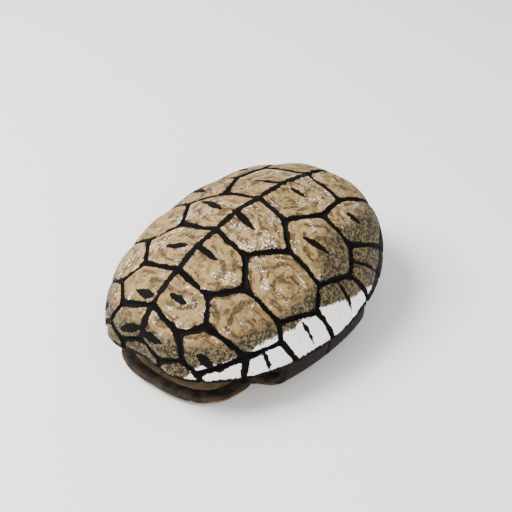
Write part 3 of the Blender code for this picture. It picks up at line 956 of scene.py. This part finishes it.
def relief_tree():
    tree = bpy.data.node_groups.new("plate_relief", "GeometryNodeTree")
    face = tree.interface
    face.new_socket("Geometry", in_out="INPUT", socket_type="NodeSocketGeometry")
    face.new_socket("Geometry", in_out="OUTPUT", socket_type="NodeSocketGeometry")
    for name, value in RELIEF_INPUTS.items():
        face.new_socket(name, in_out="INPUT", socket_type="NodeSocketFloat").default_value = value
    for name in ("Horn", "Bone"):
        face.new_socket(name, in_out="INPUT", socket_type="NodeSocketMaterial")
    build = Tree(tree)
    given = build.node("NodeGroupInput").outputs

    def point_value(name, data_type="FLOAT"):
        return build.output("GeometryNodeInputNamedAttribute", {"data_type": data_type}, Name=name)

    seam, faint, growth = point_value("seam_mm"), point_value("faint_mm"), point_value("growth_mm")
    position = build.output("GeometryNodeInputPosition")
    normal = build.output("GeometryNodeInputNormal")
    broad = build.less(build.noise(position, 70.0, 1.0), 0.5)
    medium = build.less(build.noise(position, 330.0, 3.0), 0.5)
    seam_share = build.math("DIVIDE", seam, given["Seam half width"])
    seam_cut = build.times(build.smooth(seam_share, 0.0, 1.0, 1.0, 0.0), given["Seam depth"])
    faint_share = build.math("DIVIDE", faint, given["Seam half width"])
    faint_cut = build.times(build.smooth(faint_share, 0.0, 0.8, 1.0, 0.0), given["Faint seam depth"])
    crown = build.times(point_value("swell"), given["Plate crown"])
    phase = build.add(build.math("DIVIDE", growth, given["Ring spacing"]), build.times(broad, 0.8))
    wave = build.math("SINE", build.times(phase, math.tau))
    ring_zone = build.times(build.smooth(seam, 1.4, 2.6), build.smooth(growth, 14.0, 6.0, 1.0, 0.35))
    rings = build.times(build.times(wave, ring_zone), given["Ring depth"])
    grain = build.times(medium, given["Grain depth"])
    uneven = build.times(broad, given["Unevenness"])
    height = build.less(build.add(crown, rings), build.add(seam_cut, faint_cut))
    height = build.add(height, build.add(grain, uneven))
    height = build.times(height, point_value("outside"))
    offset = build.output("ShaderNodeVectorMath", {"operation": "SCALE"}, Vector=normal, Scale=height)
    shape = build.output("GeometryNodeSetPosition", Geometry=given["Geometry"], Offset=offset)
    shape = build.output("GeometryNodeRealizeInstances", Geometry=shape)
    horny = point_value("horn_face", "BOOLEAN")
    for chosen, material in ((horny, given["Horn"]), (build.less(1.0, horny), given["Bone"])):
        shape = build.output(
            "GeometryNodeSetMaterial", Geometry=shape, Selection=chosen, Material=material,
        )
    build.node("NodeGroupOutput", Geometry=shape)
    return tree


plate_relief = relief_tree()
print("relief tree has", len(plate_relief.nodes), "nodes")

# %% [markdown]
# ## Horn of the carapace
#
# Horn is a warm tan here, uneven at every scale. Coarse noise shifts whole patches, finer noise gives dark
# flecks where the surface has dried, and pale flecks that are worn horn and painted highlights at once, more
# of them on the downhill side of each plate. Dark hatching runs with the growth rings: it is a noise that
# changes fast across the rings and slowly along them, because the ring distance is its fourth coordinate. The
# near-black seams come from the distance on the points, roughened so that they look grown.

# %% Colours and the carapace's horn
TAN_DEEP = (0.165, 0.108, 0.040, 1.0)
TAN_PALE = (0.335, 0.230, 0.092, 1.0)
TAN_ROSY = (0.37, 0.180, 0.095, 1.0)
HATCH_BROWN = (0.045, 0.027, 0.010, 1.0)
# near-white flecks: partly wear, partly painted highlights
WEAR_AND_HIGHLIGHT_WHITE = (0.90, 0.86, 0.76, 1.0)
OLIVE_DARK = (0.020, 0.016, 0.009, 1.0)
OLIVE_GREY = (0.118, 0.099, 0.055, 1.0)
CREAM = (0.93, 0.91, 0.85, 1.0)
INK = (0.002, 0.0018, 0.0016, 1.0)
BAND_SPACING = 5.6
HATCH_SCALE = 170.0
HATCH_MM = 1.7
HORN_GLOSS = 0.08


def new_material(name):
    """A material, its tree's builder, and the place on the piece that its patterns start from."""
    material = bpy.data.materials.new(name)
    material.use_nodes = True
    build = Tree(material.node_tree)
    return material, build, build.node("ShaderNodeTexCoord").outputs["Object"]


def finish(material, colour, rough, surface, bump_mm, gloss):
    """Joins colour, roughness and fine bumps to the shader. The gloss is the same all over."""
    tree = material.node_tree
    shader = tree.nodes["Principled BSDF"]
    bump = Tree(tree).output("ShaderNodeBump", Height=surface, Strength=0.5, Distance=bump_mm * MM)
    for name, value in (("Base Color", colour), ("Roughness", rough), ("Normal", bump)):
        tree.links.new(value, shader.inputs[name])
    shader.inputs["Specular IOR Level"].default_value = gloss
    return material


def ring_lines(build, growth, spacing, wobble, low, high):
    """Lines at even distances from a plate's edge, bent by a noise."""
    phase = build.add(build.times(growth, 1 / spacing), wobble)
    return build.smooth(build.math("PINGPONG", phase, 0.5), high, low)


def carapace_horn():
    material, build, place = new_material("carapace_horn_dressed")
    ink, wash, olive = (build.number(name) for name in ("ink_mm", "wash_mm", "olive_mm"))
    growth, downhill, tone = (build.number(name) for name in ("growth_mm", "downhill", "tone"))
    rim_shade = build.number("rim_shade_mm")
    broad = build.noise(place, 55.0, 3.0)
    patch = build.noise(place, 200.0, 5.0, 0.6)
    blotch = build.noise(place, 430.0, 5.0, 0.7)
    fine = build.noise(place, 850.0, 4.0, 0.65)
    specks = build.noise(place, 1000.0, 3.0, 0.65)

    horn = build.mix(build.smooth(patch, 0.40, 0.60), TAN_DEEP, TAN_PALE)
    rosy = build.smooth(build.noise(place, 230.0, 3.0), 0.55, 0.66, 0.0, 0.75)
    horn = build.mix(rosy, horn, TAN_ROSY)
    horn = build.mix(build.smooth(tone, 0.0, 1.0, 0.0, 0.35), horn, TAN_DEEP)

    bands = ring_lines(build, growth, BAND_SPACING, build.centred(broad, 3.0), 0.12, 0.22)
    bands = build.times(bands, build.smooth(build.noise(place, 130.0, 2.0), 0.42, 0.50))
    bands = build.times(bands, build.smooth(fine, 0.40, 0.52, 0.30, 0.95))
    across_rings = build.times(growth, 1 / (HATCH_MM * HATCH_SCALE))
    streak = build.output(
        "ShaderNodeTexNoise", {"noise_dimensions": "4D"},
        Vector=place, W=across_rings, Scale=HATCH_SCALE, Detail=3.0,
    )
    hatch = build.math("MAXIMUM", bands, build.smooth(streak, 0.56, 0.63, 0.0, 0.8))
    hatch = build.math("MAXIMUM", hatch, build.smooth(blotch, 0.40, 0.33, 0.0, 0.85))
    horn = build.mix(hatch, horn, HATCH_BROWN)
    # pale flecks: worn horn and painted highlights, denser on the downhill side of each plate
    low_side = build.smooth(downhill, 0.02, 0.14, 0.0, 0.055)
    worn_and_lit = build.add(build.noise(place, 110.0, 4.0, 0.7), low_side)
    worn_and_lit = build.smooth(worn_and_lit, 0.55, 0.64, 0.03, 0.95)
    white = build.times(build.smooth(specks, 0.53, 0.58), worn_and_lit)
    horn = build.mix(white, horn, WEAR_AND_HIGHLIGHT_WHITE)

    ragged = build.add(build.centred(patch, 12.0), build.centred(fine, 6.0))
    band = build.smooth(build.add(olive, ragged), -2.0, 4.0, 0.0, 0.95)
    mottle = build.mix(build.smooth(blotch, 0.47, 0.58), OLIVE_DARK, OLIVE_GREY)
    mottle = build.mix(build.smooth(specks, 0.57, 0.63, 0.0, 0.7), mottle, TAN_PALE)
    mottle = build.mix(build.smooth(fine, 0.42, 0.36, 0.0, 0.9), mottle, INK)
    horn = build.mix(band, horn, mottle)
    edge = build.add(wash, build.times(ragged, 0.6))
    cream = build.mix(build.smooth(patch, 0.38, 0.30, 0.0, 0.5), CREAM, TAN_PALE)
    horn = build.mix(build.smooth(edge, -0.8, 0.8), horn, cream)

    wander = build.add(build.centred(patch, 3.2), build.centred(fine, 1.4))
    wander = build.add(wander, build.centred(broad, 2.6))
    ink_and_shade_mask = build.smooth(build.add(ink, wander), 0.14, -0.14)
    # painted shade: the near-black rim band joins the seams' ink in one mask
    rim_shade_edge = build.add(rim_shade, build.times(ragged, 0.4))
    ink_and_shade_mask = build.math("MAXIMUM", ink_and_shade_mask, build.smooth(rim_shade_edge, -0.3, 0.3))
    horn = build.mix(ink_and_shade_mask, horn, INK)
    rough = build.add(build.smooth(patch, 0.3, 0.7, 0.48, 0.62), build.times(ink_and_shade_mask, 0.2))
    return finish(material, horn, rough, build.less(build.times(fine, 0.7), hatch), 0.4, HORN_GLOSS)


horn_material = carapace_horn()
print("carapace horn has", len(horn_material.node_tree.nodes), "nodes")

# %% [markdown]
# ## Bone, and the plastron's horn
#
# The inside of an empty shell is bare bone: ivory that has yellowed, matt and finely porous, with brown
# stains. Fine zigzag sutures show where one bone ends and the next begins, and they don't follow the horn
# plates outside. The same material draws the margin of horn along the free edges, where it has a small step,
# and colours it near-black as painted shade under the rims. The plastron's horn is nearly black on the
# bridges, as painted shade under the rim, and brown with amber patches below.

# %% Bone and plastron horn
BONE_PALE = (0.27, 0.195, 0.108, 1.0)
BONE_STAINED = (0.095, 0.058, 0.028, 1.0)
SUTURE_BROWN = (0.060, 0.036, 0.020, 1.0)
# near-black horn, which is also painted shade on the bridges and the horn margins
PLASTRON_DARK_AND_SHADE = (0.009, 0.007, 0.005, 1.0)
PLASTRON_AMBER = (0.36, 0.19, 0.060, 1.0)
MARGIN_BROWN_AND_SHADE = (0.036, 0.022, 0.011, 1.0)
BONE_GLOSS = 0.25


def bone():
    material, build, place = new_material("bare_bone")
    suture = build.number("suture_mm")
    stain = build.smooth(build.noise(place, 60.0, 6.0, 0.62), 0.40, 0.62)
    zigzag = build.noise(place, 420.0, 2.0)
    pores = build.noise(place, 1600.0, 3.0, 0.6)
    colour = build.mix(build.times(stain, 0.8), BONE_PALE, BONE_STAINED)
    colour = build.mix(build.smooth(pores, 0.42, 0.34, 0.0, 0.6), colour, BONE_STAINED)
    groove = build.smooth(build.math("ABSOLUTE", build.add(suture, build.centred(zigzag, 5.0))), 0.5, 0.1)
    colour = build.mix(build.times(groove, 0.85), colour, SUTURE_BROWN)
    margin = build.add(build.number("margin_mm"), build.centred(zigzag, 2.0))
    margin = build.smooth(margin, -0.2, 0.2)
    blotch = build.smooth(build.noise(place, 150.0, 4.0), 0.42, 0.60)
    # painted shade: the real horn margin under the rims is coloured near-black
    edge_horn_and_shade = build.mix(blotch, PLASTRON_DARK_AND_SHADE, MARGIN_BROWN_AND_SHADE)
    colour = build.mix(margin, colour, edge_horn_and_shade)
    surface = build.add(build.less(build.times(pores, 0.8), groove), margin)
    return finish(material, colour, build.smooth(stain, 0.0, 1.0, 0.66, 0.82), surface, 0.4, BONE_GLOSS)


def plastron_horn():
    material, build, place = new_material("plastron_horn_dressed")
    ink, height = build.number("ink_mm"), build.number("wash_mm")
    growth = build.number("growth_mm")
    broad = build.noise(place, 45.0, 3.0)
    patch = build.noise(place, 170.0, 5.0, 0.6)
    fine = build.noise(place, 1000.0, 3.0, 0.6)
    line = ring_lines(build, growth, RING_SPACING, build.centred(broad, 2.4), 0.03, 0.13)
    amber = build.smooth(build.add(broad, build.times(patch, 0.5)), 0.68, 0.80)
    # painted shade: amber only low on the belly, so the wing goes near-black towards the rim
    amber = build.times(amber, build.smooth(height, 6.0, 0.5))
    colour = build.mix(amber, PLASTRON_DARK_AND_SHADE, PLASTRON_AMBER)
    colour = build.mix(build.times(line, 0.6), colour, PLASTRON_DARK_AND_SHADE)
    colour = build.mix(build.smooth(fine, 0.60, 0.70, 0.0, 0.2), colour, OLIVE_GREY)
    seam = build.smooth(build.add(ink, build.centred(fine, 1.4)), 0.2, -0.2)
    colour = build.mix(seam, colour, INK)
    surface = build.less(build.times(fine, 0.5), line)
    return finish(material, colour, build.smooth(patch, 0.3, 0.7, 0.48, 0.62), surface, 0.3, HORN_GLOSS)


bone_material = bone()
belly_material = plastron_horn()
print("made", bone_material.name, "and", belly_material.name)

# %% [markdown]
# ## Making the pieces
#
# The points and faces go into a mesh together with their numbers, as attributes. The Geometry Nodes
# modifier then raises the relief. An exported model can't keep a modifier, so its result is copied into a
# plain mesh and the modifier is removed, before the piece takes its node's place.

# %% Piece maker


def mesh_with_values(name, half, materials):
    mesh = bpy.data.meshes.new(name)
    placed = half.points * MM + np.array((0.0, LENGTHWISE_SLIDE, 0.0))
    mesh.from_pydata(placed.tolist(), [], half.faces)
    for key, numbers in half.values.items():
        mesh.attributes.new(key, "FLOAT", "POINT").data.foreach_set("value", numbers.astype(np.float32))
    flags = mesh.attributes.new("horn_face", "BOOLEAN", "FACE")
    flags.data.foreach_set("value", np.array(half.outside_faces, dtype=bool))
    shell = bmesh.new()
    shell.from_mesh(mesh)
    bmesh.ops.recalc_face_normals(shell, faces=shell.faces)
    open_edges = sum(len(edge.link_faces) != 2 for edge in shell.edges)
    shell.to_mesh(mesh)
    shell.free()
    mesh.shade_smooth()
    for material in materials:
        mesh.materials.append(material)
    print(name, "has", open_edges, "open edges")
    return mesh


def raise_relief(piece, settings):
    """Runs the relief tree on the piece and keeps the result as a plain mesh, nowhere below the floor."""
    modifier = piece.modifiers.new("relief", "NODES")
    modifier.node_group = plate_relief
    for item in plate_relief.interface.items_tree:
        if item.in_out == "INPUT" and item.name in settings:
            modifier[item.identifier] = settings[item.name]
    bpy.context.view_layer.update()
    depsgraph = bpy.context.evaluated_depsgraph_get()
    plain = bpy.data.meshes.new_from_object(piece.evaluated_get(depsgraph))
    piece.modifiers.remove(modifier)
    for vertex in plain.vertices:
        vertex.co.z = max(vertex.co.z, 0.0)
    piece.data = plain


def dress_half(node, half, horn_of_half, settings):
    name = f"{node}_dressed"
    piece = add_object(name, mesh_with_values(name, half, (horn_of_half, bone_material)))
    raise_relief(piece, {**RELIEF_INPUTS, **settings, "Horn": horn_of_half, "Bone": bone_material})
    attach(piece, "root")
    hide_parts(node)
    triangles = sum(len(face.vertices) - 2 for face in piece.data.polygons)
    print(name, "has", triangles, "triangles and", len(piece.data.materials), "materials")


BELLY_RELIEF = {
    "Plate crown": 0.0,
    "Seam depth": 0.9 * MM,
    "Ring depth": 0.12 * MM,
    "Unevenness": 0.0,
    "Grain depth": 0.05 * MM,
}
dress_half("carapace", carapace, horn_material, {})
dress_half("plastron", plastron, belly_material, BELLY_RELIEF)

# %% [markdown]
# ## Floor and light
#
# A plain pale floor and large soft lamps keep the colours honest. The key lamp comes from the upper left
# of the picture, and a weaker one opposite opens the shadows.

# %% Floor and lamps
FLOOR_REACH = 3.0
FLOOR_PALE = (0.86, 0.86, 0.85, 1.0)
FLOOR_ROUGHNESS = 0.9
WHITE = (1.0, 1.0, 1.0, 1.0)
SURROUND_STRENGTH = 0.95


def make_floor():
    mesh = bpy.data.meshes.new("floor")
    corners = [(x * FLOOR_REACH, y * FLOOR_REACH, 0) for x, y in ((-1, -1), (1, -1), (1, 1), (-1, 1))]
    mesh.from_pydata(corners, [], [(0, 1, 2, 3)])
    material = bpy.data.materials.new("floor_pale")
    material.use_nodes = True
    shader = material.node_tree.nodes["Principled BSDF"]
    shader.inputs["Base Color"].default_value = FLOOR_PALE
    shader.inputs["Roughness"].default_value = FLOOR_ROUGHNESS
    mesh.materials.append(material)
    add_object("floor", mesh)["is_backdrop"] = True


def make_lamp(name, place, size, power):
    lamp = bpy.data.lights.new(name, "AREA")
    lamp.size = size
    lamp.energy = power
    thing = add_object(name, lamp)
    thing.location = place
    face_away(thing, Vector(place))


make_floor()
make_lamp("key_lamp", place=(-0.55, -0.45, 0.95), size=0.6, power=31.0)
make_lamp("fill_lamp", place=(0.9, -0.35, 0.6), size=0.9, power=7.0)
world = bpy.data.worlds.new("studio")
world.use_nodes = True
background = world.node_tree.nodes["Background"]
background.inputs["Color"].default_value = WHITE
background.inputs["Strength"].default_value = SURROUND_STRENGTH
bpy.context.scene.world = world
print("floor, two lamps and a white surround")

# %% [markdown]
#
# The dressed shell must stay the size of the imported one. Its box is measured and printed.

# %% Measure the dressed shell and finish
dressed_low, dressed_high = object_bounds()
spans = [round((high - low) / MM, 1) for low, high in zip(dressed_low, dressed_high)]
print("the dressed shell spans", spans, "mm")
